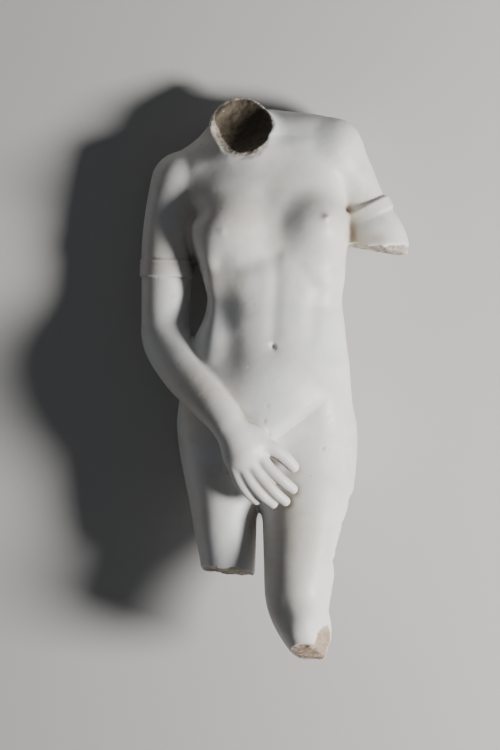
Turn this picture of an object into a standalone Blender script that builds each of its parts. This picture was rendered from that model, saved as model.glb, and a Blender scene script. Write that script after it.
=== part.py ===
"""Marble fragment of a nude goddess who shields herself with her right hand, lying on its back.

The head, the left forearm and both lower legs are broken away. The figure is carved from one
block, so it is one solid: a smooth distance field is added up from the masses of the body,
grooves and breaks are cut into the field, and the surface is drawn where the field is zero.

Frame while carving: X to the figure's left, Y up the body towards the neck, Z out of the chest,
in millimetres. The forms are laid out on a drawn figure and put in place by the dimensions below.
Lying down, the same axes hold, so Z points up from the floor that the back rests on.
"""

import math

import bmesh
import bpy
import numpy as np
from mathutils import Matrix, Vector

# Driving dimensions, in metres
LEG_LENGTH = 0.150  # broken knee to crotch
TRUNK_LENGTH = 0.252  # crotch to the pit of the neck
NECK_LENGTH = 0.048  # pit of the neck to the top of the break
SHOULDER_BREADTH = 0.186
WAIST_BREADTH = 0.108
HIP_BREADTH = 0.138
KNEE_BREADTH = 0.050
CHEST_DEPTH = 0.086
HIP_DEPTH = 0.094
KNEE_DEPTH = 0.060
ARM_THICKNESS = 0.040  # upper arm, above the band
FINGER_THICKNESS = 0.009
NECK_THICKNESS = 0.047
BREAST_BREADTH = 0.052
BAND_WIDTH = 0.015  # of the bands round the upper arms, along the arm
BAND_RELIEF = 0.0016  # how far they stand out of the arm
CREASE_WIDTH = 0.0044  # of the folds of groin and buttocks
BREAK_ROUGHNESS = 0.0016  # height of the lumps on the broken faces

# The same measures of the drawn figure, in millimetres
DRAWN_HEIGHTS = (-50, 0, 150, 402, 450, 500)
DRAWN_BREADTHS = {30: 50, 190: 138, 285: 108, 390: 186}  # at the knee, hip, waist and shoulder
DRAWN_DEPTHS = {30: 60, 170: 94, 350: 86}  # at the knee, hip and chest

# Fineness of the carved surface
GRID_STEP = 2.0  # millimetres between the points where the field is sampled
BLOCK = 8  # grid cells along each side of the blocks that are skipped when far from the surface
TRIANGLES = 9800
FAR = 60.0  # distance given to points well away from a small form

MARBLE = (0.80, 0.79, 0.765, 1.0)


# From the drawn figure to the one that is carved

def place(points):
    """Drawn points (x, y, z) moved to where the driving dimensions put them."""
    points = np.array(points, float)
    x, y, z = np.moveaxis(points, -1, 0)
    fx, fy, fz = local_stretch(y)
    rises = (50, LEG_LENGTH * 1000, TRUNK_LENGTH * 1000, NECK_LENGTH * 1000, 50)
    heights = np.cumsum((-50,) + rises)
    return np.stack([x * fx, np.interp(y, DRAWN_HEIGHTS, heights), z * fz], axis=-1)


def local_stretch(y):
    """How much wider, taller and deeper than drawn the figure is at the drawn height y."""
    breadths = np.array([KNEE_BREADTH, HIP_BREADTH, WAIST_BREADTH, SHOULDER_BREADTH]) * 1000
    depths = np.array([KNEE_DEPTH, HIP_DEPTH, CHEST_DEPTH]) * 1000
    fx = np.interp(y, list(DRAWN_BREADTHS), breadths / list(DRAWN_BREADTHS.values()))
    fz = np.interp(y, list(DRAWN_DEPTHS), depths / list(DRAWN_DEPTHS.values()))
    fy = np.interp(y, (75, 276, 426), (LEG_LENGTH / 0.150, TRUNK_LENGTH / 0.252, NECK_LENGTH / 0.048))
    return fx, fy, fz


# Joining, cutting and sampling

def merge(a, b, softness):
    """Union of two fields with a fillet about as wide as softness."""
    h = np.maximum(softness - np.abs(a - b), 0.0) / softness
    return np.minimum(a, b) - h * h * softness * 0.25


def keep_inside(a, b, softness):
    """What both fields hold, with the edge between them rounded."""
    return -merge(-a, -b, softness)


def through(t, knots, values):
    """A smooth curve through (knots, values), read at t and held level beyond both ends."""
    knots = np.asarray(knots, float)
    values = np.asarray(values, float)
    slopes = np.gradient(values, knots)
    t = np.clip(t, knots[0], knots[-1])
    i = np.clip(np.searchsorted(knots, t) - 1, 0, len(knots) - 2)
    width = knots[i + 1] - knots[i]
    s = (t - knots[i]) / width
    return (
        values[i] * (1 + 2 * s) * (1 - s) ** 2
        + values[i + 1] * s * s * (3 - 2 * s)
        + slopes[i] * width * s * (1 - s) ** 2
        - slopes[i + 1] * width * s * s * (1 - s)
    )


def turned(p, degrees):
    """Points seen from a form that is turned by these angles about X, Y and Z."""
    for axis, angle in enumerate(degrees):
        if angle:
            c = math.cos(math.radians(angle))
            s = math.sin(math.radians(angle))
            u, v = (axis + 1) % 3, (axis + 2) % 3
            q = p.copy()
            q[:, u] = c * p[:, u] + s * p[:, v]
            q[:, v] = c * p[:, v] - s * p[:, u]
            p = q
    return p


def only_near(p, low, high, margin, measure):
    """Measures only the points within margin of a box, and calls the rest far."""
    near = np.all((p > np.asarray(low) - margin) & (p < np.asarray(high) + margin), axis=1)
    out = np.full(len(p), FAR, p.dtype)
    if near.any():
        out[near] = measure(p[near])
    return out


def ellipsoid(p, centre, radii, turn=(0, 0, 0), size=None):
    """Its radii follow the figure where it sits, unless it has a size of its own."""
    radii = np.multiply(radii, local_stretch(centre[1]) if size is None else size)
    centre = place(centre)
    reach = radii.max()

    def measure(q):
        q = turned(q - np.asarray(centre, q.dtype), turn)
        scaled = q / np.asarray(radii, q.dtype)
        inner = np.linalg.norm(scaled, axis=1)
        slope = np.linalg.norm(scaled / np.asarray(radii, q.dtype), axis=1)
        return inner * (inner - 1) / np.maximum(slope, 1e-6)

    return only_near(p, centre - reach, centre + reach, 26.0, measure)


def bone(p, a, b, ra, rb):
    """Distance to a straight rod whose radius runs from ra to rb."""
    a = np.asarray(a, p.dtype)
    along = np.asarray(b, p.dtype) - a
    t = np.clip((p - a) @ along / (along @ along), 0, 1)
    return np.linalg.norm(p - a - t[:, None] * along, axis=1) - (ra + (rb - ra) * t)


def limb(p, stations, size, steps=5, margin=20.0):
    """A curved, tapering rod through stations of (x, y, z, radius), its radii times size."""
    stations = np.asarray(stations, float)
    stations = np.column_stack([place(stations[:, :3]), stations[:, 3] * size])
    knots = np.arange(len(stations))
    fine = np.linspace(0, len(stations) - 1, (len(stations) - 1) * steps + 1)
    line = np.stack([through(fine, knots, stations[:, i]) for i in range(4)], axis=1)
    reach = line[:, 3:].max()

    def measure(q):
        out = None
        for s, e in zip(line[:-1], line[1:]):
            rod = bone(q, s[:3], e[:3], s[3], e[3])
            out = rod if out is None else np.minimum(out, rod)
        return out

    low = line[:, :3].min(axis=0) - reach
    high = line[:, :3].max(axis=0) + reach
    return only_near(p, low, high, margin, measure)


def loft(p, stations, low, high, rounding):
    """A body along Y through stations of (y, left x, right x, back z, front z, squareness)."""
    s = np.asarray(stations, float)
    fx, fy, fz = local_stretch(s[:, 0])
    heights = place([(0, t, 0) for t in s[:, 0]])[:, 1]
    s = np.column_stack([heights, s[:, 1] * fx, s[:, 2] * fx, s[:, 3] * fz, s[:, 4] * fz, s[:, 5]])
    low, high = place([(0, low, 0), (0, high, 0)])[:, 1]
    x, y, z = p.T
    x0, x1, z0, z1, power = (through(y, s[:, 0], s[:, i]) for i in range(1, 6))
    half_x = (x1 - x0) / 2
    half_z = (z1 - z0) / 2
    u = np.abs(x - (x0 + x1) / 2) / half_x
    v = np.abs(z - (z0 + z1) / 2) / half_z
    r = np.maximum((u**power + v**power) ** (1 / power), 1e-4)
    slope = np.hypot((u / r) ** (power - 1) / half_x, (v / r) ** (power - 1) / half_z)
    side = (r - 1) / np.maximum(slope, 1e-6)
    ends = np.maximum(low - y, y - high)
    return keep_inside(side, ends, rounding)


def facing(p, side):
    """One on the front of the figure (side 1) or on its back (side -1), fading to nothing between."""
    t = np.clip(p[:, 2] * side / 12.0, 0, 1)
    return t * t * (3 - 2 * t)


def groove(p, side, points, depth, width):
    """How far the surface sinks along a line drawn on the front or the back.

    The line is given in X and Y alone. A negative depth raises a ridge.
    """
    flat = p[:, :2]
    points = place([(x, y, 0) for x, y in points])[:, :2]
    low = points.min(axis=0) - 3 * width
    high = points.max(axis=0) + 3 * width
    near = np.all((flat > low) & (flat < high), axis=1) & (p[:, 2] * side > 0)
    cut = np.zeros(len(p), p.dtype)
    q = flat[near]
    d = None
    for start, end in zip(points[:-1], points[1:]):
        piece = bone(q, start, end, 0.0, 0.0)
        d = piece if d is None else np.minimum(d, piece)
    cut[near] = depth * np.exp(-((d / width) ** 2)) * facing(p[near], side)
    return cut


def fold(p, side, start, end, depth, steep, slow):
    """A crease that is steep to the left of its line and rises slowly to the right of it."""
    start, end = place([(*start, 0), (*end, 0)])[:, :2]
    length = np.linalg.norm(end - start)
    along = (end - start) / length
    q = p[:, :2] - start.astype(p.dtype)
    t = q @ along / length
    across = q[:, 1] * along[0] - q[:, 0] * along[1]
    rise = np.where(across > 0, (across / steep) ** 2, -across / slow)
    fade = np.clip((0.5 - np.abs(t - 0.5)) / 0.4, 0, 1)
    return depth * np.exp(-rise) * fade * fade * (3 - 2 * fade) * facing(p, side)


def dimple(p, side, centre, radii, depth, turn=0.0):
    """A soft hollow seen from the front or the back, or a swelling where depth is negative."""
    c = math.cos(math.radians(turn))
    s = math.sin(math.radians(turn))
    middle = place((centre[0], centre[1], 0))
    x = p[:, 0] - middle[0]
    y = p[:, 1] - middle[1]
    u = (c * x + s * y) / radii[0]
    v = (c * y - s * x) / radii[1]
    return depth * np.exp(-(u * u + v * v)) * facing(p, side)


def lattice(seed, size=16):
    return np.random.default_rng(seed).uniform(-1, 1, (size, size, size))


def roughness(p, grain, seed):
    """Smooth random values from -1 to 1 that change over the length grain."""
    values = lattice(seed)
    size = values.shape[0]
    q = p / grain
    cell = np.floor(q).astype(int)
    f = q - cell
    f = f * f * (3 - 2 * f)
    out = np.zeros(len(p))
    for corner in range(8):
        bits = np.array([corner & 1, corner >> 1 & 1, corner >> 2 & 1])
        at = (cell + bits) % size
        weight = np.prod(np.where(bits, f, 1 - f), axis=1)
        out += weight * values[at[:, 0], at[:, 1], at[:, 2]]
    return out


# Masses of the body

TORSO = [  # y, right side x, left side x, back z, front z, squareness
    (124, -58.0, 60.0, -38, 28, 2.1),
    (150, -64.0, 66.0, -45, 37, 2.2),
    (176, -68.5, 67.5, -49, 44, 2.2),
    (203, -71.0, 67.2, -47, 47, 2.2),
    (229, -66.0, 65.0, -40, 46, 2.25),
    (257, -58.0, 62.0, -34, 43, 2.35),
    (271, -50.0, 60.5, -32, 41.5, 2.37),
    (284, -46.8, 59.2, -31, 40, 2.5),
    (306, -51.8, 61.5, -33, 42, 3.0),
    (330, -57.0, 62.0, -38, 43, 3.0),
    (355, -61.0, 61.0, -43, 40, 2.8),
    (378, -62.0, 58.0, -45, 33, 2.6),
    (398, -58.0, 54.0, -42, 22, 2.2),
    (416, -46.0, 42.0, -36, 8, 2.1),
]
LEFT_THIGH = [
    (-10, 10.0, 48.5, 11, 61, 2.1),
    (8, 5.0, 50.5, 10, 66, 2.1),
    (28, 0.2, 50.0, 7, 67, 2.1),
    (48, -2.4, 50.0, 0, 62, 2.1),
    (76, -3.4, 54.5, -14, 58, 2.1),
    (104, -4.2, 61.5, -26, 52, 2.1),
    (133, -4.6, 67.2, -37, 46, 2.1),
    (160, -2.0, 67.2, -44, 40, 2.1),
    (190, 8.0, 66.0, -44, 32, 2.1),
]
RIGHT_THIGH = [
    (50, -51.0, -11.5, -22, 22, 2.1),
    (78, -54.5, -10.0, -27, 26, 2.1),
    (104, -59.5, -9.2, -33, 29, 2.1),
    (133, -63.2, -8.6, -40, 32, 2.1),
    (160, -66.5, -6.0, -46, 33, 2.1),
    (190, -68.5, -10.0, -45, 33, 2.1),
]
LEFT_ARM = [  # x, y, z, radius
    (53, 403.5, -8, 22.4),
    (63, 390, -10, 20.2),
    (71.5, 375, -12, 18.0),
    (78, 361, -13, 17.8),
    (82.5, 348, -12, 20.8),
    (87, 335, -10, 24.0),
    (91, 320, -7, 24.5),
]
RIGHT_ARM = [
    (-71, 381, -8, 22.5),
    (-77, 358, -8, 21.0),
    (-80.5, 328, -9, 20.8),
    (-81.5, 298, -10, 20.0),
    (-82.5, 272, -9, 19.0),
    (-80, 252, -3, 20.0),
    (-66, 228, 19, 18.6),
    (-50, 209, 39, 15.9),
    (-36, 192, 53, 13.4),
    (-27, 179, 57.5, 12.6),
    (-20, 167, 58, 11.6),
]
DIGITS = {
    "thumb": [(-12, 175, 58, 6.8), (3, 168, 57, 5.8), (13, 160.5, 54, 5.3), (19.5, 154, 51, 4.7)],
    "index": [(-8.5, 164, 59, 6.0), (1, 152.5, 58.5, 4.9), (10.5, 143.5, 56, 4.6), (19, 136.5, 51.5, 4.0)],
    "middle": [(-14.5, 158, 59, 6.0), (-6, 146, 58.5, 4.9), (4, 135, 56, 4.6), (13, 127, 51, 4.1)],
    "ring": [(-20.5, 155, 58, 5.8), (-14, 142.5, 57.5, 4.7), (-5.5, 132.5, 55, 4.4), (3.5, 125, 50, 4.0)],
    "little": [(-26.5, 154, 56, 5.4), (-22.5, 143, 55.5, 4.4), (-16.5, 134, 53, 4.1), (-9.5, 127.5, 48, 3.8)],
}
SCAR_EDGE = [  # left side x, y
    (52, 24), (46.0, 29), (44.4, 36), (43.8, 42), (46.3, 55), (49.5, 66), (48.3, 74), (47.0, 79.5),
    (49.0, 85.5), (50.2, 91.5), (54.4, 105), (55.3, 108), (59.7, 115), (62.7, 120), (63.0, 126.5),
    (66.9, 130), (92, 148),
]


def torso(p):
    body = loft(p, TORSO, 120, 424, 22)
    belly = ellipsoid(p, (0, 210, 20), (44, 40, 31))
    body = merge(body, belly, 20)
    for x, y in ((-34, 180), (35, 173)):
        body = merge(body, ellipsoid(p, (x, y, -27), (33, 42, 31)), 20)
    return body


def thighs(p):
    """Both legs down to the knee. The inner side of the left knee is worn round."""
    corner = place((10.5, 14.8, 0))[:2]
    worn = (p[:, :2] - corner.astype(p.dtype)) @ np.array([-0.72, -0.69])
    left = keep_inside(loft(p, LEFT_THIGH, -20, 196, 20), worn, 18)
    right = loft(p, RIGHT_THIGH, 40, 196, 20)
    return left, right


def breasts(p):
    size = BREAST_BREADTH / 0.052
    left = ellipsoid(p, (37, 341, 23), (25, 26, 27.5), (-4, 10, 0), size)
    right = ellipsoid(p, (-31, 338.5, 22), (27, 24.5, 25.5), (-4, -2, 0), size)
    return left, right


def shoulders(p):
    """Collar, shoulder caps and the slopes that run up to the neck."""
    depth = CHEST_DEPTH / 0.086
    collar = [(-68, 382, -8, 20), (-24, 396, -10, 21), (20, 406, -10, 21), (52.5, 406.5, -8, 21)]
    yoke = limb(p, collar, depth)
    right_slope = limb(p, [(-64, 386, -10, 15), (-44, 402, -14, 16), (-26, 416, -14, 18)], depth)
    left_slope = limb(p, [(53, 414.5, -10, 14), (30, 418, -14, 16), (2, 423, -18, 16.5)], depth)
    neck = limb(p, [(-12, 388, -6, 26), (-19, 412, 2, 24.0), (-25, 440, 16, 24.0)], NECK_THICKNESS / 0.047)
    body = merge(yoke, right_slope, 14)
    body = merge(body, left_slope, 14)
    return merge(body, neck, 11)


def armpit_fold(p):
    """The sheet of muscle between the right side of the chest and the arm."""
    return limb(p, [(-44, 322, -6, 14), (-56, 340, -6, 14), (-68, 358, -7, 14)], ARM_THICKNESS / 0.040)


def armlet(p, centre, axis, radius, width, thickness):
    """A rounded band carved round an arm."""
    axis = np.asarray(axis, float)
    axis /= np.linalg.norm(axis)

    def measure(q):
        q = q - np.asarray(centre, q.dtype)
        along = q @ axis
        out = np.sqrt(np.maximum(np.sum(q * q, axis=1) - along**2, 0))
        u = np.abs(along) - (width / 2 - 1.2)
        v = out - (radius + thickness - 1.2)
        edge = np.hypot(np.maximum(u, 0), np.maximum(v, 0)) - 1.2
        return edge + np.minimum(np.maximum(u, v), 0)

    centre = place(centre)
    reach = radius + thickness + width
    return only_near(p, centre - reach, centre + reach, 6.0, measure)


def right_arm(p):
    """The whole arm with the hand's four fingers and thumb, which rest on the left thigh."""
    back = limb(p, RIGHT_ARM, ARM_THICKNESS / 0.040, steps=7)
    pad = ellipsoid(p, (-17, 168, 56), (15, 20, 10), (0, 0, -42))
    back = merge(back, pad, 12)
    for name, stations in DIGITS.items():
        finger = limb(p, stations, FINGER_THICKNESS / 0.009, steps=4, margin=8.0)
        back = merge(back, finger, 4.0 if name == "thumb" else 2.2)
    return back


# Carving that sinks or raises the surface

def front_modelling(p):
    """Shallow forms of the chest, belly, groin and knee: sinking is positive, swelling negative."""
    cut = groove(p, 1, [(-2, 364), (4, 346), (6, 326)], 1.7, 11)
    cut += dimple(p, 1, (-57, 353), (9, 6), 3.0, 12)
    cut += groove(p, 1, [(5, 318), (6, 300), (4.5, 276), (3.4, 258)], 1.3, 6)
    cut += groove(p, 1, [(-2, 319), (-12, 313), (-25, 310), (-36, 313)], 2.0, 7.5)
    cut += groove(p, 1, [(9, 318), (24, 310), (40, 292)], 0.8, 6)
    cut += dimple(p, 1, (-32, 270), (11, 42), 3.3, 3)
    cut += dimple(p, 1, (-47, 282), (8, 38), -2.4, 3)
    cut += dimple(p, 1, (35, 272), (8, 24), 1.4, -4)
    cut += groove(p, 1, [(36, 280.5), (50, 278), (62, 281)], 0.5, 5)
    cut += dimple(p, 1, (3.6, 248), (1.7, 2.4), 3.0, 25)
    cut += dimple(p, 1, (3.4, 246), (8, 7), 1.0)
    cut += dimple(p, 1, (3, 226), (26, 15), -1.6)
    cut += groove(p, 1, [(-8, 402), (8, 406), (30, 412)], -0.4, 7)
    cut += groove(p, 1, [(-32, 398), (-44, 398), (-58, 392)], -0.7, 6)
    cut += groove(p, 1, [(10, 416), (24, 420), (38, 424)], 0.5, 7)
    right_groin = [(-66, 226), (-52, 214), (-38, 200), (-24, 185), (-11, 168), (-6, 158)]
    cut += fold(p, 1, (-14, 161.5), (52, 209), 9.5, CREASE_WIDTH * 700, CREASE_WIDTH * 3200)
    cut += groove(p, 1, right_groin, 2.4, CREASE_WIDTH * 1000)
    cut += dimple(p, 1, (-3, 182), (17, 12), -3.4)
    cut += dimple(p, 1, (57, 232), (9, 9), -1.6)
    cut += dimple(p, 1, (-52, 238), (9, 9), -1.6)
    cut += dimple(p, 1, (27, 34), (12, 13), -3.2)
    cut += dimple(p, 1, (11, 38), (6, 14), 1.0)
    cut += dimple(p, 1, (44, 38), (6, 14), 2.4)
    cut += dimple(p, 1, (27, 60), (13, 12), -1.4)
    return cut


def back_modelling(p):
    """Spine, shoulder blades, small of the back, buttocks and the hollows behind the knee."""
    cut = groove(p, -1, [(-15, 400), (-8, 360), (0, 318), (4, 280), (4, 240), (1, 214)], 3.2, 8)
    cut += dimple(p, -1, (-38, 362), (17, 25), -3.0, 12)
    cut += dimple(p, -1, (40, 368), (17, 25), -3.0, -12)
    cut += groove(p, -1, [(-24, 384), (-21, 362), (-27, 342)], 0.9, 9)
    cut += groove(p, -1, [(13, 388), (17, 368), (25, 346)], 0.9, 9)
    cut += dimple(p, -1, (-11, 226), (5, 5), 1.6)
    cut += dimple(p, -1, (19, 225), (5, 5), 1.6)
    cut += groove(p, -1, [(1, 204), (-2, 184), (-5, 162)], 4.5, 12)
    cut += groove(p, -1, [(0, 198), (-2, 182), (-5, 160), (-8, 138)], 4, 3.4)
    cut += fold(p, -1, (-54, 143), (-1, 149), 3.2, CREASE_WIDTH * 800, CREASE_WIDTH * 1800)
    cut += fold(p, -1, (-5, 146), (50, 139), 3.2, CREASE_WIDTH * 800, CREASE_WIDTH * 1800)
    cut += dimple(p, -1, (26, 30), (9, 18), 2.2)
    return cut


def nipples(p, body):
    for x, y, rise in ((45.5, 349.2, 1.0), (-36, 338, 0.3)):
        body = body - dimple(p, 1, (x, y), (2.6, 2.6), 1.6 * rise)
        body = body - dimple(p, 1, (x, y), (5.5, 5.5), 0.6 * rise)
    return body


def broken_face(p, body, point, normal, reach, grain, amount, seed):
    """Breaks away what stands beyond a rough plane, within reach of a point on it."""
    point = place(point)
    normal = np.asarray(normal, float)
    normal /= np.linalg.norm(normal)
    amount *= BREAK_ROUGHNESS * 1000
    q = p - point.astype(p.dtype)
    ball = np.linalg.norm(q, axis=1) - reach
    near = ball < 12
    face = q[near] @ normal
    face += amount * roughness(p[near], grain, seed)
    face += 0.45 * amount * roughness(p[near], grain * 0.45, seed + 1)
    out = body.copy()
    out[near] = np.maximum(body[near], np.minimum(face, -ball[near]))
    return out


def broken_neck(p, body):
    """The head broke away with most of the neck and left a hollowed, steeply sloping face."""
    body = broken_face(p, body, (-20, 426.2, 8.3), (-0.10, 0.53, 0.842), 45, 8, 0.45, 11)
    hollow = ellipsoid(p, (-21, 425.2, 11.3), (23.5, 25.5, 12), (-33, -6, 0))
    near = hollow < 12
    hollow[near] += 0.8 * roughness(p[near], 6, 21)
    return keep_inside(body, -hollow, 1.6)


def broken_left_arm(p, arm):
    """The upper arm ends just above the elbow, with a second chip on its outer corner."""
    arm = broken_face(p, arm, (90, 326.5, -4), (-0.19, -0.98, 0.04), 46, 8, 0.8, 31)
    arm = broken_face(p, arm, (110.5, 327, 0), (0.86, -0.50, 0.10), 17, 6, 0.5, 37)
    return broken_face(p, arm, (101, 330, 12), (0.42, -0.68, 0.60), 17, 6, 0.6, 35)


def broken_right_thigh(p, thigh):
    return broken_face(p, thigh, (-31, 69, 0), (-0.10, -0.98, 0.15), 48, 9, 1.1, 41)


def broken_left_leg(p, leg):
    """The break just under the knee, with a chip on its outer corner."""
    leg = broken_face(p, leg, (28, 6.3, 37), (0.06, -0.94, 0.33), 60, 9, 0.7, 51)
    return broken_face(p, leg, (44.6, 16.4, 39), (0.78, -0.46, 0.41), 27, 8, 0.5, 58)


def support_scar(p, body):
    """A long rough strip down the outer side of the left thigh."""
    top = place((0, 150, 0))[1]
    near = (p[:, 0] > 20) & (p[:, 1] > 20) & (p[:, 1] < top)
    q = p[near]
    edge = place([(x, y, 0) for x, y in SCAR_EDGE])
    line = np.interp(q[:, 1], edge[:, 1], edge[:, 0])
    face = q[:, 0] - line - 0.22 * (q[:, 2] - 22)
    face += BREAK_ROUGHNESS * (600 * roughness(q, 8, 61) + 450 * roughness(q, 4, 62))
    out = body.copy()
    out[near] = np.maximum(body[near], face)
    return out


def figure(p):
    body = torso(p)
    left_thigh, right_thigh = thighs(p)
    legs = merge(broken_left_leg(p, left_thigh), broken_right_thigh(p, right_thigh), 3)
    body = merge(body, legs, 12)
    left_breast, right_breast = breasts(p)
    body = merge(merge(body, left_breast, 12), right_breast, 12)
    body = merge(body, shoulders(p), 20)
    body = merge(body, armpit_fold(p), 10)
    body = body + front_modelling(p) + back_modelling(p)
    body = nipples(p, body)
    body = support_scar(p, body)
    thick = ARM_THICKNESS / 0.040
    width = BAND_WIDTH * 1000
    relief = BAND_RELIEF * 1000
    left_band = armlet(p, (80.3, 356.2, -12), (-0.46, 0.88, 0), 18.3 * thick, width * 0.7, relief * 1.7)
    right_band = armlet(p, (-81, 311, -9.5), (0.03, 1, 0), 20.3 * thick, width, relief)
    left_arm = merge(limb(p, LEFT_ARM, thick), left_band, 2.4)
    body = merge(body, broken_left_arm(p, left_arm), 9)
    body = merge(body, merge(right_arm(p), right_band, 0.8), 4)
    return broken_neck(p, body)


# Drawing the surface where the field is zero

def sample(low, high, step, field):
    """The field on a grid. Blocks far from the surface take their middle's value throughout."""
    blocks = np.ceil((high - low) / (step * BLOCK)).astype(int)
    shape = blocks * BLOCK + 1
    size = step * BLOCK
    corners = np.stack(np.meshgrid(*[np.arange(n) for n in blocks], indexing="ij"), -1).reshape(-1, 3)
    middle = field((low + (corners + 0.5) * size).astype(np.float32))
    grid = np.repeat(np.repeat(np.repeat(middle.reshape(blocks), BLOCK, 0), BLOCK, 1), BLOCK, 2)
    grid = np.pad(grid, ((0, 1), (0, 1), (0, 1)), mode="edge").astype(np.float32)
    near = np.abs(middle) < size * 1.5
    wanted = np.zeros(shape, bool)
    for i, j, k in corners[near] * BLOCK:
        wanted[i:i + BLOCK + 1, j:j + BLOCK + 1, k:k + BLOCK + 1] = True
    at = np.argwhere(wanted)
    values = np.concatenate([field((low + part * step).astype(np.float32)) for part in np.array_split(at, 8)])
    grid[wanted] = values
    return grid


def close_pinches(grid):
    """Fills the samples where the surface would touch itself along an edge or at a point."""
    for _ in range(12):
        inside = grid < 0
        fill = np.zeros(grid.shape, bool)
        for axis in range(3):
            flat = np.moveaxis(inside, axis, 0)
            here = np.moveaxis(fill, axis, 0)
            a, b = flat[:, :-1, :-1], flat[:, 1:, :-1]
            d, c = flat[:, :-1, 1:], flat[:, 1:, 1:]
            crossed = (a == c) & (b == d) & (a != b)
            for i, j in ((0, 0), (0, 1), (1, 0), (1, 1)):
                here[:, i:i + crossed.shape[1], j:j + crossed.shape[2]] |= crossed
        nx, ny, nz = (n - 1 for n in grid.shape)
        starts = [(a, b, c) for a in (0, 1) for b in (0, 1) for c in (0, 1)]
        corners = [inside[a:a + nx, b:b + ny, c:c + nz] for a, b, c in starts]
        total = sum(corner.astype(np.int8) for corner in corners)
        for k in range(4):
            opposite = corners[k] == corners[7 - k]
            pinched = opposite & (((total == 2) & corners[k]) | ((total == 6) & ~corners[k]))
            for a, b, c in starts:
                fill[a:a + nx, b:b + ny, c:c + nz] |= pinched
        fill &= ~inside
        if not fill.any():
            break
        grid[fill] = -0.05
    return grid


def surface(grid, low, step):
    """One point in each cell that the surface crosses, and one quad round each crossed edge."""
    inside = grid < 0
    cells = np.zeros(np.array(grid.shape) - 1, np.int8)
    corners = [np.array([c & 1, c >> 1 & 1, c >> 2 & 1]) for c in range(8)]
    for a, b, c in corners:
        cells += inside[a:a + cells.shape[0], b:b + cells.shape[1], c:c + cells.shape[2]]
    at = np.argwhere((cells > 0) & (cells < 8))
    number = np.full(cells.shape, -1, np.int32)
    number[tuple(at.T)] = np.arange(len(at))
    total = np.zeros((len(at), 3))
    count = np.zeros(len(at))
    for start in corners:
        for axis in range(3):
            if start[axis]:
                continue
            end = start.copy()
            end[axis] = 1
            a = grid[tuple((at + start).T)]
            b = grid[tuple((at + end).T)]
            crossed = (a < 0) != (b < 0)
            t = np.where(crossed, a / np.where(crossed, a - b, 1), 0)
            total += crossed[:, None] * (start + t[:, None] * (end - start))
            count += crossed
    points = low + (at + total / count[:, None]) * step
    quads = []
    for axis in range(3):
        u, v = (axis + 1) % 3, (axis + 2) % 3
        first = np.take(inside, range(inside.shape[axis] - 1), axis)
        second = np.take(inside, range(1, inside.shape[axis]), axis)
        edge = np.argwhere(first != second)
        outward = first[tuple(edge.T)]
        ring = []
        for du, dv in ((-1, -1), (0, -1), (0, 0), (-1, 0)):
            cell = edge.copy()
            cell[:, u] += du
            cell[:, v] += dv
            ring.append(number[tuple(cell.T)])
        ring = np.stack(ring, 1)
        ring[~outward] = ring[~outward][:, ::-1]
        quads.append(ring)
    return points, np.concatenate(quads)


def marble():
    material = bpy.data.materials.new("marble")
    material.use_nodes = True
    shader = material.node_tree.nodes["Principled BSDF"]
    shader.inputs["Base Color"].default_value = MARBLE
    shader.inputs["Roughness"].default_value = 0.45
    shader.inputs["Metallic"].default_value = 0.0
    return material


def carve_figure(step):
    """A mesh object of the whole figure, in millimetres."""
    spread = np.array([max(f) for f in local_stretch(np.arange(0, 451, 10))])
    low = place((0, -14, 0)) + spread * (-114, 0, -82)
    high = place((0, 462, 0)) + spread * (126, 0, 90)
    grid = close_pinches(sample(low, high, step, figure))
    points, quads = surface(grid, low, step)
    mesh = bpy.data.meshes.new("marble_figure")
    mesh.from_pydata(points.tolist(), [], quads.tolist())
    mesh.update()
    return bpy.data.objects.new("marble_figure", mesh)


def thin_out(figure_object, triangles):
    """Merges the small faces where the form is plain, down to a number of triangles."""
    now = sum(len(face.vertices) - 2 for face in figure_object.data.polygons)
    thinning = figure_object.modifiers.new("Thin out", "DECIMATE")
    thinning.ratio = triangles / now
    evaluated = figure_object.evaluated_get(bpy.context.evaluated_depsgraph_get())
    thinned = bpy.data.meshes.new_from_object(evaluated)
    figure_object.modifiers.clear()
    figure_object.data = thinned
    thinned.name = "marble_figure"


def underside(mesh):
    """Outward normal of the plane that the figure comes to rest on when it lies on its back."""
    mesh.calc_loop_triangles()
    points = np.array([v.co for v in mesh.vertices])
    corners = points[np.array([t.vertices for t in mesh.loop_triangles])]
    volumes = np.einsum("ij,ij->i", corners[:, 0], np.cross(corners[:, 1], corners[:, 2]))
    centre = (corners.sum(axis=1) * volumes[:, None]).sum(axis=0) / (4 * volumes.sum())
    hull = bmesh.new()
    hull.from_mesh(mesh)
    shell = bmesh.ops.convex_hull(hull, input=hull.verts[:], use_existing_faces=False)["geom"]
    normal = Vector((0, 0, -1))
    for face in shell:
        if isinstance(face, bmesh.types.BMFace) and abs(face.normal.z) > 0.9:
            a, b, c = (np.array(v.co[:]) - centre for v in face.verts[:3])
            n = np.cross(b - a, c - a)
            n *= -np.sign(n[2]) / np.linalg.norm(n)
            foot = n * (a @ n)
            sides = [np.cross(v - u, foot - u) @ n for u, v in ((a, b), (b, c), (c, a))]
            if a @ n > 0 and min(sides) * max(sides) > 0:
                normal = Vector(n)
    hull.free()
    return normal


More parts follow.
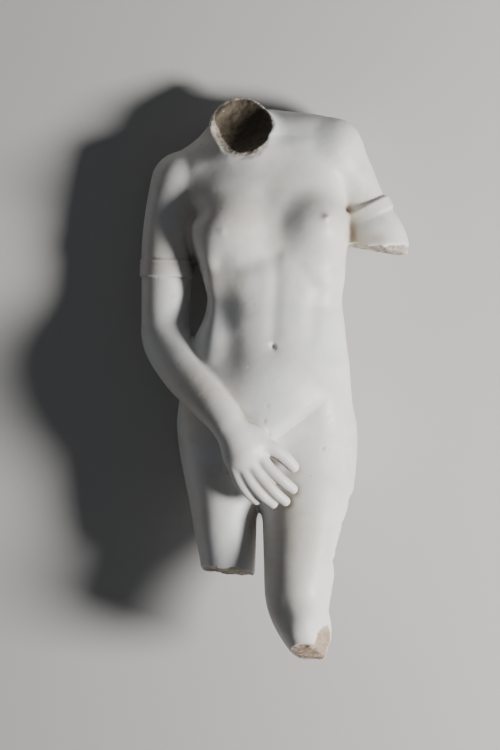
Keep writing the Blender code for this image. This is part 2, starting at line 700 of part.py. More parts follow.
def lay_down(figure_object):
    """Turns the figure on its back, in metres, with the floor at zero under its middle."""
    mesh = figure_object.data
    normal = underside(mesh)
    pitch = -math.atan2(normal.y, -normal.z)
    roll = math.atan2(normal.x, math.hypot(normal.y, normal.z))
    turn = Matrix.Rotation(roll, 4, "Y") @ Matrix.Rotation(pitch, 4, "X")
    mesh.transform(Matrix.Scale(0.001, 4) @ turn)
    points = np.array([v.co for v in mesh.vertices])
    low = points.min(axis=0)
    high = points.max(axis=0)
    middle = Vector(((low[0] + high[0]) / 2, (low[1] + high[1]) / 2, low[2]))
    mesh.transform(Matrix.Translation(-middle))
    mesh.update()


def main():
    for old in list(bpy.data.objects):
        bpy.data.objects.remove(old)
    collection = bpy.data.collections.new("Goddess fragment")
    bpy.context.scene.collection.children.link(collection)
    figure_object = carve_figure(GRID_STEP)
    collection.objects.link(figure_object)
    thin_out(figure_object, TRIANGLES)
    lay_down(figure_object)
    figure_object.data.materials.append(marble())


if __name__ == "__main__":
    main()
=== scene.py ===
"""The marble goddess fragment lying on its back, seen from straight above.

The figure is the same smooth field as the solid's, sampled more finely, with the grain of the
broken stone and the wear of the skin raised on it. Carving frame: X to the figure's left, Y up
the body towards the neck, Z out of the chest, in millimetres.
"""

import math

import bmesh
import bpy
import numpy as np
from mathutils import Matrix, Vector


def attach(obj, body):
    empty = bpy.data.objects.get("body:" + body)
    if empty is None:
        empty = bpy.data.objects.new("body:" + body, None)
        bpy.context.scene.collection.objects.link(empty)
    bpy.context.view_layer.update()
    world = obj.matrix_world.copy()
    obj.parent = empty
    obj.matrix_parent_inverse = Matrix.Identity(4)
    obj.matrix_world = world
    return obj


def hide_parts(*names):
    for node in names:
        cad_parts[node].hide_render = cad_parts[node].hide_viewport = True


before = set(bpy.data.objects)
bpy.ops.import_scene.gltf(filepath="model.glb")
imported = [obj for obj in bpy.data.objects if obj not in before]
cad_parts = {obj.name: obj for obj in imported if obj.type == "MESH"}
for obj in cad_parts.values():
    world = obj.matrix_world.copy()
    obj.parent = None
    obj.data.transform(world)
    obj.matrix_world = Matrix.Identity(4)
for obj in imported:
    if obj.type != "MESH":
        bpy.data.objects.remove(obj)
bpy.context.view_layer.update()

# Driving dimensions, in metres
LEG_LENGTH = 0.150  # broken knee to crotch
TRUNK_LENGTH = 0.252  # crotch to the pit of the neck
NECK_LENGTH = 0.048  # pit of the neck to the top of the break
SHOULDER_BREADTH = 0.186
WAIST_BREADTH = 0.108
HIP_BREADTH = 0.138
KNEE_BREADTH = 0.050
CHEST_DEPTH = 0.086
HIP_DEPTH = 0.094
KNEE_DEPTH = 0.060
ARM_THICKNESS = 0.040  # upper arm, above the band
FINGER_THICKNESS = 0.009
NECK_THICKNESS = 0.047
BREAST_BREADTH = 0.052
BAND_WIDTH = 0.015  # of the bands round the upper arms, along the arm
BAND_RELIEF = 0.0016  # how far they stand out of the arm
BAND_EDGE = 0.0012  # radius of their rounded edges
CREASE_WIDTH = 0.0044  # of the folds of groin and buttocks
BREAK_ROUGHNESS = 0.0016  # height of the lumps on the broken faces

# The same measures of the drawn figure, in millimetres
DRAWN_HEIGHTS = (-50, 0, 150, 402, 450, 500)
DRAWN_BREADTHS = {30: 50, 190: 138, 285: 108, 390: 186}  # at the knee, hip, waist and shoulder
DRAWN_DEPTHS = {30: 60, 170: 94, 350: 86}  # at the knee, hip and chest
DRAWN_MIDDLES = (75, 276, 426)  # of the leg, trunk and neck, in height

# How many times their drawn size these parts are
LEG_SCALE = LEG_LENGTH / 0.150
TRUNK_SCALE = TRUNK_LENGTH / 0.252
NECK_LENGTH_SCALE = NECK_LENGTH / 0.048
NECK_SCALE = NECK_THICKNESS / 0.047
CHEST_SCALE = CHEST_DEPTH / 0.086
BREAST_SCALE = BREAST_BREADTH / 0.052
ARM_SCALE = ARM_THICKNESS / 0.040
FINGER_SCALE = FINGER_THICKNESS / 0.009

# Fineness of the carved surface
FINE_STEP = 1.1  # millimetres between the points where the field is sampled
BLOCK = 8  # grid cells along each side of the blocks that are skipped when far from the surface
FINE_TRIANGLES = 192000
FAR = 60.0  # distance given to points well away from a small form
MOST_PASSES = 12  # rounds of filling where the surface would touch itself
JUST_INSIDE = -0.05  # value of the field that they are filled with
LATTICE = 16  # random values along each side of the block that roughness repeats

# Colours of the stone, and of the shade painted on it
COOL_MARBLE = (0.700, 0.705, 0.705, 1)
WARM_MARBLE = (0.710, 0.690, 0.645, 1)
GREY_SMEAR = (0.45, 0.455, 0.46, 1)
PATINA = (0.480, 0.405, 0.290, 1)
# Real dark specks, and painted shade in the hollows of the skin and of the broken stone
DIRT_AND_SHADE = (0.125, 0.090, 0.060, 1)
BROKEN_LIGHT = (0.46, 0.39, 0.31, 1)
BROKEN_DARK = (0.29, 0.23, 0.17, 1)
# Painted shade inside the hollow of the neck break
OLIVE_PAINTED_SHADE = (0.075, 0.058, 0.036, 1)
RUST = (0.300, 0.165, 0.080, 1)

# The floor, in metres, and its two tones
FLOOR_SIZE = 14
FLOOR_DARKER = (0.50, 0.495, 0.485, 1)
FLOOR_LIGHTER = (0.53, 0.525, 0.515, 1)

# The lamps: the way to each in the carving frame, metres away, metres across, watts
KEY = {"direction": (0.80, -0.18, 0.54), "distance": 1.7, "size": 0.46, "power": 64}
FILL = {"direction": (-0.75, 0.25, 0.62), "distance": 2.2, "size": 1.6, "power": 0.8}
KEY_COLOUR = (1.0, 0.985, 0.965)
FILL_COLOUR = (0.92, 0.96, 1.0)
LIT_MIDDLE = (0, 220, 0)  # the point that both face, in carving millimetres
SKY_COLOUR = (0.90, 0.93, 1.0, 1.0)
SKY_STRENGTH = 0.075

# What the camera sees, in carving millimetres
SEEN_HEIGHT = 600
SEEN_MIDDLE = (-14.4, 225.6)
CAMERA_DISTANCE = 2250
SENSOR = 36  # millimetres of the camera's sensor over the height of the frame


# From the drawn figure to the one that is carved

def place(points):
    """Drawn points (x, y, z) moved to where the driving dimensions put them."""
    points = np.array(points, float)
    x, y, z = np.moveaxis(points, -1, 0)
    fx, fy, fz = local_stretch(y)
    rises = (50, LEG_LENGTH * 1000, TRUNK_LENGTH * 1000, NECK_LENGTH * 1000, 50)
    heights = np.cumsum((-50,) + rises)
    return np.stack([x * fx, np.interp(y, DRAWN_HEIGHTS, heights), z * fz], axis=-1)


def local_stretch(y):
    """How much wider, taller and deeper than drawn the figure is at the drawn height y."""
    breadths = np.array([KNEE_BREADTH, HIP_BREADTH, WAIST_BREADTH, SHOULDER_BREADTH]) * 1000
    depths = np.array([KNEE_DEPTH, HIP_DEPTH, CHEST_DEPTH]) * 1000
    fx = np.interp(y, list(DRAWN_BREADTHS), breadths / list(DRAWN_BREADTHS.values()))
    fz = np.interp(y, list(DRAWN_DEPTHS), depths / list(DRAWN_DEPTHS.values()))
    fy = np.interp(y, DRAWN_MIDDLES, (LEG_SCALE, TRUNK_SCALE, NECK_LENGTH_SCALE))
    return fx, fy, fz


# Joining, cutting and measuring

def smooth(t):
    """An S-curve from nothing at zero to one at one."""
    t = np.clip(t, 0, 1)
    return t * t * (3 - 2 * t)


def unit(direction):
    """The same direction with a length of one."""
    direction = np.asarray(direction, float)
    return direction / np.linalg.norm(direction)


def merge(a, b, softness):
    """Union of two fields with a fillet about as wide as softness."""
    h = np.maximum(softness - np.abs(a - b), 0.0) / softness
    return np.minimum(a, b) - h * h * softness * 0.25


def keep_inside(a, b, softness):
    """What both fields hold, with the edge between them rounded."""
    return -merge(-a, -b, softness)


def through(t, knots, values):
    """A smooth curve through (knots, values), read at t and held level beyond both ends."""
    knots = np.asarray(knots, float)
    values = np.asarray(values, float)
    slopes = np.gradient(values, knots)
    t = np.clip(t, knots[0], knots[-1])
    i = np.clip(np.searchsorted(knots, t) - 1, 0, len(knots) - 2)
    width = knots[i + 1] - knots[i]
    s = (t - knots[i]) / width
    return (
        values[i] * (1 + 2 * s) * (1 - s) ** 2
        + values[i + 1] * s * s * (3 - 2 * s)
        + slopes[i] * width * s * (1 - s) ** 2
        - slopes[i + 1] * width * s * s * (1 - s)
    )


def turned(p, degrees):
    """Points seen from a form that is turned by these angles about X, Y and Z."""
    for axis, angle in enumerate(degrees):
        if angle:
            c = math.cos(math.radians(angle))
            s = math.sin(math.radians(angle))
            u, v = (axis + 1) % 3, (axis + 2) % 3
            q = p.copy()
            q[:, u] = c * p[:, u] + s * p[:, v]
            q[:, v] = c * p[:, v] - s * p[:, u]
            p = q
    return p


def only_near(p, low, high, margin, measure):
    """Measures only the points within margin of a box, and calls the rest far."""
    near = np.all((p > np.asarray(low) - margin) & (p < np.asarray(high) + margin), axis=1)
    out = np.full(len(p), FAR, p.dtype)
    if near.any():
        out[near] = measure(p[near])
    return out


def ellipsoid(p, centre, radii, turn=(0, 0, 0), size=None):
    """Its radii follow the figure where it sits, unless it has a size of its own."""
    radii = np.multiply(radii, local_stretch(centre[1]) if size is None else size)
    centre = place(centre)
    reach = radii.max()

    def measure(q):
        q = turned(q - np.asarray(centre, q.dtype), turn)
        scaled = q / np.asarray(radii, q.dtype)
        inner = np.linalg.norm(scaled, axis=1)
        slope = np.linalg.norm(scaled / np.asarray(radii, q.dtype), axis=1)
        return inner * (inner - 1) / np.maximum(slope, 1e-6)

    return only_near(p, centre - reach, centre + reach, 26.0, measure)


def bone(p, a, b, ra, rb):
    """Distance to a straight rod whose radius runs from ra to rb."""
    a = np.asarray(a, p.dtype)
    along = np.asarray(b, p.dtype) - a
    t = np.clip((p - a) @ along / (along @ along), 0, 1)
    return np.linalg.norm(p - a - t[:, None] * along, axis=1) - (ra + (rb - ra) * t)


def limb(p, stations, size, steps=5, margin=20.0):
    """A curved, tapering rod through stations of (x, y, z, radius), its radii times size."""
    stations = np.asarray(stations, float)
    stations = np.column_stack([place(stations[:, :3]), stations[:, 3] * size])
    knots = np.arange(len(stations))
    fine = np.linspace(0, len(stations) - 1, (len(stations) - 1) * steps + 1)
    line = np.stack([through(fine, knots, stations[:, i]) for i in range(4)], axis=1)
    reach = line[:, 3:].max()

    def measure(q):
        out = None
        for s, e in zip(line[:-1], line[1:]):
            rod = bone(q, s[:3], e[:3], s[3], e[3])
            out = rod if out is None else np.minimum(out, rod)
        return out

    low = line[:, :3].min(axis=0) - reach
    high = line[:, :3].max(axis=0) + reach
    return only_near(p, low, high, margin, measure)


def loft(p, stations, low, high, rounding):
    """A body along Y through stations of (y, left x, right x, back z, front z, squareness)."""
    s = np.asarray(stations, float)
    fx, fy, fz = local_stretch(s[:, 0])
    heights = place([(0, t, 0) for t in s[:, 0]])[:, 1]
    s = np.column_stack([heights, s[:, 1] * fx, s[:, 2] * fx, s[:, 3] * fz, s[:, 4] * fz, s[:, 5]])
    low, high = place([(0, low, 0), (0, high, 0)])[:, 1]
    x, y, z = p.T
    x0, x1, z0, z1, power = (through(y, s[:, 0], s[:, i]) for i in range(1, 6))
    half_x = (x1 - x0) / 2
    half_z = (z1 - z0) / 2
    u = np.abs(x - (x0 + x1) / 2) / half_x
    v = np.abs(z - (z0 + z1) / 2) / half_z
    r = np.maximum((u**power + v**power) ** (1 / power), 1e-4)
    slope = np.hypot((u / r) ** (power - 1) / half_x, (v / r) ** (power - 1) / half_z)
    side = (r - 1) / np.maximum(slope, 1e-6)
    ends = np.maximum(low - y, y - high)
    return keep_inside(side, ends, rounding)


def facing(p, side):
    """One on the front of the figure (side 1) or on its back (side -1), fading to nothing between."""
    return smooth(p[:, 2] * side / 12.0)


def groove(p, side, points, depth, width):
    """How far the surface sinks along a line drawn on the front or the back.

    The line is given in X and Y alone. A negative depth raises a ridge.
    """
    flat = p[:, :2]
    points = place([(x, y, 0) for x, y in points])[:, :2]
    low = points.min(axis=0) - 3 * width
    high = points.max(axis=0) + 3 * width
    near = np.all((flat > low) & (flat < high), axis=1) & (p[:, 2] * side > 0)
    cut = np.zeros(len(p), p.dtype)
    q = flat[near]
    d = None
    for start, end in zip(points[:-1], points[1:]):
        piece = bone(q, start, end, 0.0, 0.0)
        d = piece if d is None else np.minimum(d, piece)
    cut[near] = depth * np.exp(-((d / width) ** 2)) * facing(p[near], side)
    return cut


def fold(p, side, start, end, depth, steep, slow):
    """A crease that is steep to the left of its line and rises slowly to the right of it."""
    start, end = place([(*start, 0), (*end, 0)])[:, :2]
    length = np.linalg.norm(end - start)
    along = (end - start) / length
    q = p[:, :2] - start.astype(p.dtype)
    t = q @ along / length
    across = q[:, 1] * along[0] - q[:, 0] * along[1]
    rise = np.where(across > 0, (across / steep) ** 2, -across / slow)
    fade = np.clip((0.5 - np.abs(t - 0.5)) / 0.4, 0, 1)
    return depth * np.exp(-rise) * fade * fade * (3 - 2 * fade) * facing(p, side)


def dimple(p, side, centre, radii, depth, turn=0.0):
    """A soft hollow seen from the front or the back, or a swelling where depth is negative."""
    c = math.cos(math.radians(turn))
    s = math.sin(math.radians(turn))
    middle = place((centre[0], centre[1], 0))
    x = p[:, 0] - middle[0]
    y = p[:, 1] - middle[1]
    u = (c * x + s * y) / radii[0]
    v = (c * y - s * x) / radii[1]
    return depth * np.exp(-(u * u + v * v)) * facing(p, side)


def roughness(p, grain, seed):
    """Smooth random values from -1 to 1 that change over the length grain."""
    values = np.random.default_rng(seed).uniform(-1, 1, (LATTICE, LATTICE, LATTICE))
    q = p / grain
    cell = np.floor(q).astype(int)
    f = smooth(q - cell)
    out = np.zeros(len(p))
    for corner in range(8):
        bits = np.array([corner & 1, corner >> 1 & 1, corner >> 2 & 1])
        at = (cell + bits) % LATTICE
        weight = np.prod(np.where(bits, f, 1 - f), axis=1)
        out += weight * values[at[:, 0], at[:, 1], at[:, 2]]
    return out


# Masses of the body

# Stations of the torso and thighs: y, right side x, left side x, back z, front z, squareness
TORSO = [
    (124, -58.0, 60.0, -38, 28, 2.1),
    (150, -64.0, 66.0, -45, 37, 2.2),
    (176, -68.5, 67.5, -49, 44, 2.2),
    (203, -71.0, 67.2, -47, 47, 2.2),
    (229, -66.0, 65.0, -40, 46, 2.25),
    (257, -58.0, 62.0, -34, 43, 2.35),
    (271, -50.0, 60.5, -32, 41.5, 2.37),
    (284, -46.8, 59.2, -31, 40, 2.5),
    (306, -51.8, 61.5, -33, 42, 3.0),
    (330, -57.0, 62.0, -38, 43, 3.0),
    (355, -61.0, 61.0, -43, 40, 2.8),
    (378, -62.0, 58.0, -45, 33, 2.6),
    (398, -58.0, 54.0, -42, 22, 2.2),
    (416, -46.0, 42.0, -36, 8, 2.1),
]
LEFT_THIGH = [
    (-10, 10.0, 48.5, 11, 61, 2.1),
    (8, 5.0, 50.5, 10, 66, 2.1),
    (28, 0.2, 50.0, 7, 67, 2.1),
    (48, -2.4, 50.0, 0, 62, 2.1),
    (76, -3.4, 54.5, -14, 58, 2.1),
    (104, -4.2, 61.5, -26, 52, 2.1),
    (133, -4.6, 67.2, -37, 46, 2.1),
    (160, -2.0, 67.2, -44, 40, 2.1),
    (190, 8.0, 66.0, -44, 32, 2.1),
]
RIGHT_THIGH = [
    (50, -51.0, -11.5, -22, 22, 2.1),
    (78, -54.5, -10.0, -27, 26, 2.1),
    (104, -59.5, -9.2, -33, 29, 2.1),
    (133, -63.2, -8.6, -40, 32, 2.1),
    (160, -66.5, -6.0, -46, 33, 2.1),
    (190, -68.5, -10.0, -45, 33, 2.1),
]
# Stations of the arms and fingers: x, y, z, radius
LEFT_ARM = [
    (53, 403.5, -8, 22.4),
    (63, 390, -10, 20.2),
    (71.5, 375, -12, 18.0),
    (78, 361, -13, 17.8),
    (82.5, 348, -12, 20.8),
    (87, 335, -10, 24.0),
    (91, 320, -7, 24.5),
]
RIGHT_ARM = [
    (-71, 381, -8, 22.5),
    (-77, 358, -8, 21.0),
    (-80.5, 328, -9, 20.8),
    (-81.5, 298, -10, 20.0),
    (-82.5, 272, -9, 19.0),
    (-80, 252, -3, 20.0),
    (-66, 228, 19, 18.6),
    (-50, 209, 39, 15.9),
    (-36, 192, 53, 13.4),
    (-27, 179, 57.5, 12.6),
    (-20, 167, 58, 11.6),
]
DIGITS = {
    "thumb": [(-12, 175, 58, 6.8), (3, 168, 57, 5.8), (13, 160.5, 54, 5.3), (19.5, 154, 51, 4.7)],
    "index": [(-8.5, 164, 59, 6.0), (1, 152.5, 58.5, 4.9), (10.5, 143.5, 56, 4.6), (19, 136.5, 51.5, 4.0)],
    "middle": [(-14.5, 158, 59, 6.0), (-6, 146, 58.5, 4.9), (4, 135, 56, 4.6), (13, 127, 51, 4.1)],
    "ring": [(-20.5, 155, 58, 5.8), (-14, 142.5, 57.5, 4.7), (-5.5, 132.5, 55, 4.4), (3.5, 125, 50, 4.0)],
    "little": [(-26.5, 154, 56, 5.4), (-22.5, 143, 55.5, 4.4), (-16.5, 134, 53, 4.1), (-9.5, 127.5, 48, 3.8)],
}
# Middle and direction of each arm band
LEFT_BAND = ((80.3, 356.2, -12), (-0.46, 0.88, 0))
RIGHT_BAND = ((-81, 311, -9.5), (0.03, 1, 0))
# The outline of the scar on the left thigh: x, y
SCAR_EDGE = [
    (52, 24), (46.0, 29), (44.4, 36), (43.8, 42), (46.3, 55), (49.5, 66), (48.3, 74), (47.0, 79.5),
    (49.0, 85.5), (50.2, 91.5), (54.4, 105), (55.3, 108), (59.7, 115), (62.7, 120), (63.0, 126.5),
    (66.9, 130), (92, 148),
]


def torso(p):
    """Chest, belly, hips and buttocks."""
    body = loft(p, TORSO, 120, 424, 22)
    belly = ellipsoid(p, (0, 210, 20), (44, 40, 31))
    body = merge(body, belly, 20)
    for x, y in ((-34, 180), (35, 173)):
        body = merge(body, ellipsoid(p, (x, y, -27), (33, 42, 31)), 20)
    return body


def thighs(p):
    """Both legs down to the knee. The inner side of the left knee is worn round."""
    corner = place((10.5, 14.8, 0))[:2]
    worn = (p[:, :2] - corner.astype(p.dtype)) @ np.array([-0.72, -0.69])
    left = keep_inside(loft(p, LEFT_THIGH, -20, 196, 20), worn, 18)
    right = loft(p, RIGHT_THIGH, 40, 196, 20)
    return left, right


def breasts(p):
    left = ellipsoid(p, (37, 341, 23), (25, 26, 27.5), (-4, 10, 0), BREAST_SCALE)
    right = ellipsoid(p, (-31, 338.5, 22), (27, 24.5, 25.5), (-4, -2, 0), BREAST_SCALE)
    return left, right


def shoulders(p):
    """Collar, shoulder caps and the slopes that run up to the neck."""
    collar = [(-68, 382, -8, 20), (-24, 396, -10, 21), (20, 406, -10, 21), (52.5, 406.5, -8, 21)]
    yoke = limb(p, collar, CHEST_SCALE)
    right_slope = limb(p, [(-64, 386, -10, 15), (-44, 402, -14, 16), (-26, 416, -14, 18)], CHEST_SCALE)
    left_slope = limb(p, [(53, 414.5, -10, 14), (30, 418, -14, 16), (2, 423, -18, 16.5)], CHEST_SCALE)
    neck = limb(p, [(-12, 388, -6, 26), (-19, 412, 2, 24.0), (-25, 440, 16, 24.0)], NECK_SCALE)
    body = merge(yoke, right_slope, 14)
    body = merge(body, left_slope, 14)
    return merge(body, neck, 11)


def armpit_fold(p):
    """The sheet of muscle between the right side of the chest and the arm."""
    return limb(p, [(-44, 322, -6, 14), (-56, 340, -6, 14), (-68, 358, -7, 14)], ARM_SCALE)


def armlet(p, centre, axis, radius, width, thickness):
    """A rounded band carved round an arm."""
    axis = unit(axis)
    edge = BAND_EDGE * 1000

    def measure(q):
        q = q - np.asarray(centre, q.dtype)
        along = q @ axis
        out = np.sqrt(np.maximum(np.sum(q * q, axis=1) - along**2, 0))
        u = np.abs(along) - (width / 2 - edge)
        v = out - (radius + thickness - edge)
        rounded = np.hypot(np.maximum(u, 0), np.maximum(v, 0)) - edge
        return rounded + np.minimum(np.maximum(u, v), 0)

    centre = place(centre)
    reach = radius + thickness + width
    return only_near(p, centre - reach, centre + reach, 6.0, measure)


def right_arm(p):
    """The whole arm with the hand's four fingers and thumb, which rest on the left thigh."""
    arm = limb(p, RIGHT_ARM, ARM_SCALE, steps=7)
    back_of_hand = ellipsoid(p, (-17, 168, 56), (15, 20, 10), (0, 0, -42))
    arm = merge(arm, back_of_hand, 12)
    for name, stations in DIGITS.items():
        finger = limb(p, stations, FINGER_SCALE, steps=4, margin=8.0)
        arm = merge(arm, finger, 4.0 if name == "thumb" else 2.2)
    return arm


# Carving that sinks or raises the surface

def front_modelling(p):
    """Shallow forms of the chest, belly, groin and knee: sinking is positive, swelling negative."""
    cut = groove(p, 1, [(-2, 364), (4, 346), (6, 326)], 1.7, 11)
    cut += dimple(p, 1, (-57, 353), (9, 6), 3.0, 12)
    cut += groove(p, 1, [(5, 318), (6, 300), (4.5, 276), (3.4, 258)], 1.3, 6)
    cut += groove(p, 1, [(-2, 319), (-12, 313), (-25, 310), (-36, 313)], 2.0, 7.5)
    cut += groove(p, 1, [(9, 318), (24, 310), (40, 292)], 0.8, 6)
    cut += dimple(p, 1, (-32, 270), (11, 42), 3.3, 3)
    cut += dimple(p, 1, (-47, 282), (8, 38), -2.4, 3)
    cut += dimple(p, 1, (35, 272), (8, 24), 1.4, -4)
    cut += groove(p, 1, [(36, 280.5), (50, 278), (62, 281)], 0.5, 5)
    cut += dimple(p, 1, (3.6, 248), (1.7, 2.4), 3.0, 25)
    cut += dimple(p, 1, (3.4, 246), (8, 7), 1.0)
    cut += dimple(p, 1, (3, 226), (26, 15), -1.6)
    cut += groove(p, 1, [(-8, 402), (8, 406), (30, 412)], -0.4, 7)
    cut += groove(p, 1, [(-32, 398), (-44, 398), (-58, 392)], -0.7, 6)
    cut += groove(p, 1, [(10, 416), (24, 420), (38, 424)], 0.5, 7)
    right_groin = [(-66, 226), (-52, 214), (-38, 200), (-24, 185), (-11, 168), (-6, 158)]
    cut += fold(p, 1, (-14, 161.5), (52, 209), 9.5, CREASE_WIDTH * 700, CREASE_WIDTH * 3200)
    cut += groove(p, 1, right_groin, 2.4, CREASE_WIDTH * 1000)
    cut += dimple(p, 1, (-3, 182), (17, 12), -3.4)
    cut += dimple(p, 1, (57, 232), (9, 9), -1.6)
    cut += dimple(p, 1, (-52, 238), (9, 9), -1.6)
    cut += dimple(p, 1, (27, 34), (12, 13), -3.2)
    cut += dimple(p, 1, (11, 38), (6, 14), 1.0)
    cut += dimple(p, 1, (44, 38), (6, 14), 2.4)
    cut += dimple(p, 1, (27, 60), (13, 12), -1.4)
    return cut


def back_modelling(p):
    """Spine, shoulder blades, small of the back, buttocks and the hollows behind the knee."""
    cut = groove(p, -1, [(-15, 400), (-8, 360), (0, 318), (4, 280), (4, 240), (1, 214)], 3.2, 8)
    cut += dimple(p, -1, (-38, 362), (17, 25), -3.0, 12)
    cut += dimple(p, -1, (40, 368), (17, 25), -3.0, -12)
    cut += groove(p, -1, [(-24, 384), (-21, 362), (-27, 342)], 0.9, 9)
    cut += groove(p, -1, [(13, 388), (17, 368), (25, 346)], 0.9, 9)
    cut += dimple(p, -1, (-11, 226), (5, 5), 1.6)
    cut += dimple(p, -1, (19, 225), (5, 5), 1.6)
    cut += groove(p, -1, [(1, 204), (-2, 184), (-5, 162)], 4.5, 12)
    cut += groove(p, -1, [(0, 198), (-2, 182), (-5, 160), (-8, 138)], 4, 3.4)
    cut += fold(p, -1, (-54, 143), (-1, 149), 3.2, CREASE_WIDTH * 800, CREASE_WIDTH * 1800)
    cut += fold(p, -1, (-5, 146), (50, 139), 3.2, CREASE_WIDTH * 800, CREASE_WIDTH * 1800)
    cut += dimple(p, -1, (26, 30), (9, 18), 2.2)
    return cut


def nipples(p, body):
    """A small knob on each breast, the right one worn almost flat."""
    for x, y, rise in ((45.5, 349.2, 1.0), (-36, 338, 0.3)):
        body = body - dimple(p, 1, (x, y), (2.6, 2.6), 1.6 * rise)
        body = body - dimple(p, 1, (x, y), (5.5, 5.5), 0.6 * rise)
    return body


def broken_face(p, body, point, normal, reach, grain, amount, seed):
    """Breaks away what stands beyond a rough plane, within reach of a point on it."""
    point = place(point)
    normal = unit(normal)
    amount *= BREAK_ROUGHNESS * 1000
    q = p - point.astype(p.dtype)
    ball = np.linalg.norm(q, axis=1) - reach
    near = ball < 12
    face = q[near] @ normal
    face += amount * roughness(p[near], grain, seed)
    face += 0.45 * amount * roughness(p[near], grain * 0.45, seed + 1)
    out = body.copy()
    out[near] = np.maximum(body[near], np.minimum(face, -ball[near]))
    return out


def broken_neck(p, body):
    """The head broke away with most of the neck and left a hollowed, steeply sloping face."""
    body = broken_face(p, body, (-20, 426.2, 8.3), (-0.10, 0.53, 0.842), 45, 8, 0.45, 11)
    hollow = ellipsoid(p, (-21, 425.2, 11.3), (23.5, 25.5, 12), (-33, -6, 0))
    near = hollow < 12
    hollow[near] += 0.8 * roughness(p[near], 6, 21)
    return keep_inside(body, -hollow, 1.6)


def broken_left_arm(p, arm):
    """The upper arm ends just above the elbow, with a second chip on its outer corner."""
    arm = broken_face(p, arm, (90, 326.5, -4), (-0.19, -0.98, 0.04), 46, 8, 0.8, 31)
    arm = broken_face(p, arm, (110.5, 327, 0), (0.86, -0.50, 0.10), 17, 6, 0.5, 37)
    return broken_face(p, arm, (101, 330, 12), (0.42, -0.68, 0.60), 17, 6, 0.6, 35)


def broken_right_thigh(p, thigh):
    """The break across the middle of the thigh."""
    return broken_face(p, thigh, (-31, 69, 0), (-0.10, -0.98, 0.15), 48, 9, 1.1, 41)


def broken_left_leg(p, leg):
    """The break just under the knee, with a chip on its outer corner."""
    leg = broken_face(p, leg, (28, 6.3, 37), (0.06, -0.94, 0.33), 60, 9, 0.7, 51)
    return broken_face(p, leg, (44.6, 16.4, 39), (0.78, -0.46, 0.41), 27, 8, 0.5, 58)


def support_scar(p, body):
    """A long rough strip down the outer side of the left thigh."""
    top = place((0, 150, 0))[1]
    near = (p[:, 0] > 20) & (p[:, 1] > 20) & (p[:, 1] < top)
    q = p[near]
    edge = place([(x, y, 0) for x, y in SCAR_EDGE])
    line = np.interp(q[:, 1], edge[:, 1], edge[:, 0])
    face = q[:, 0] - line - 0.22 * (q[:, 2] - 22)
    face += BREAK_ROUGHNESS * (600 * roughness(q, 8, 61) + 450 * roughness(q, 4, 62))
    out = body.copy()
    out[near] = np.maximum(body[near], face)
    return out


def figure(p, broken=True):
    """The whole field, or that of the figure before anything broke away."""
    body = torso(p)
    left_thigh, right_thigh = thighs(p)
    left_arm = limb(p, LEFT_ARM, ARM_SCALE)
    if broken:
        left_thigh = broken_left_leg(p, left_thigh)
        right_thigh = broken_right_thigh(p, right_thigh)
    body = merge(body, merge(left_thigh, right_thigh, 3), 12)
    left_breast, right_breast = breasts(p)
    body = merge(merge(body, left_breast, 12), right_breast, 12)
    body = merge(body, shoulders(p), 20)
    body = merge(body, armpit_fold(p), 10)
    body = body + front_modelling(p) + back_modelling(p)
    body = nipples(p, body)
    if broken:
        body = support_scar(p, body)
    width = BAND_WIDTH * 1000
    relief = BAND_RELIEF * 1000
    left_band = armlet(p, *LEFT_BAND, 18.3 * ARM_SCALE, width * 0.7, relief * 1.7)
    right_band = armlet(p, *RIGHT_BAND, 20.3 * ARM_SCALE, width, relief)
    left_arm = merge(left_arm, left_band, 2.4)
    if broken:
        left_arm = broken_left_arm(p, left_arm)
    body = merge(body, left_arm, 9)
    body = merge(body, merge(right_arm(p), right_band, 0.8), 4)
    return broken_neck(p, body) if broken else body


# Drawing the surface where the field is zero

def sample(low, high, step, field):
    """The field on a grid. Blocks far from the surface take their middle's value throughout."""
    blocks = np.ceil((high - low) / (step * BLOCK)).astype(int)
    shape = blocks * BLOCK + 1
    size = step * BLOCK
    corners = np.stack(np.meshgrid(*[np.arange(n) for n in blocks], indexing="ij"), -1).reshape(-1, 3)
    middle = field((low + (corners + 0.5) * size).astype(np.float32))
    grid = np.repeat(np.repeat(np.repeat(middle.reshape(blocks), BLOCK, 0), BLOCK, 1), BLOCK, 2)
    grid = np.pad(grid, ((0, 1), (0, 1), (0, 1)), mode="edge").astype(np.float32)
    near = np.abs(middle) < size * 1.5
    wanted = np.zeros(shape, bool)
    for i, j, k in corners[near] * BLOCK:
        wanted[i:i + BLOCK + 1, j:j + BLOCK + 1, k:k + BLOCK + 1] = True
    at = np.argwhere(wanted)
    values = np.concatenate([field((low + part * step).astype(np.float32)) for part in np.array_split(at, 8)])
    grid[wanted] = values
    return grid


def close_pinches(grid):
    """Fills the samples where the surface would touch itself along an edge or at a point."""
    for _ in range(MOST_PASSES):
        inside = grid < 0
        fill = np.zeros(grid.shape, bool)
        for axis in range(3):
            flat = np.moveaxis(inside, axis, 0)
            here = np.moveaxis(fill, axis, 0)
            a, b = flat[:, :-1, :-1], flat[:, 1:, :-1]
            d, c = flat[:, :-1, 1:], flat[:, 1:, 1:]
            crossed = (a == c) & (b == d) & (a != b)
            for i, j in ((0, 0), (0, 1), (1, 0), (1, 1)):
                here[:, i:i + crossed.shape[1], j:j + crossed.shape[2]] |= crossed
        nx, ny, nz = (n - 1 for n in grid.shape)
        starts = [(a, b, c) for a in (0, 1) for b in (0, 1) for c in (0, 1)]
        corners = [inside[a:a + nx, b:b + ny, c:c + nz] for a, b, c in starts]
        total = sum(corner.astype(np.int8) for corner in corners)
        for k in range(4):
            opposite = corners[k] == corners[7 - k]
            pinched = opposite & (((total == 2) & corners[k]) | ((total == 6) & ~corners[k]))
            for a, b, c in starts:
                fill[a:a + nx, b:b + ny, c:c + nz] |= pinched
        fill &= ~inside
        if not fill.any():
            break
        grid[fill] = JUST_INSIDE
    return grid


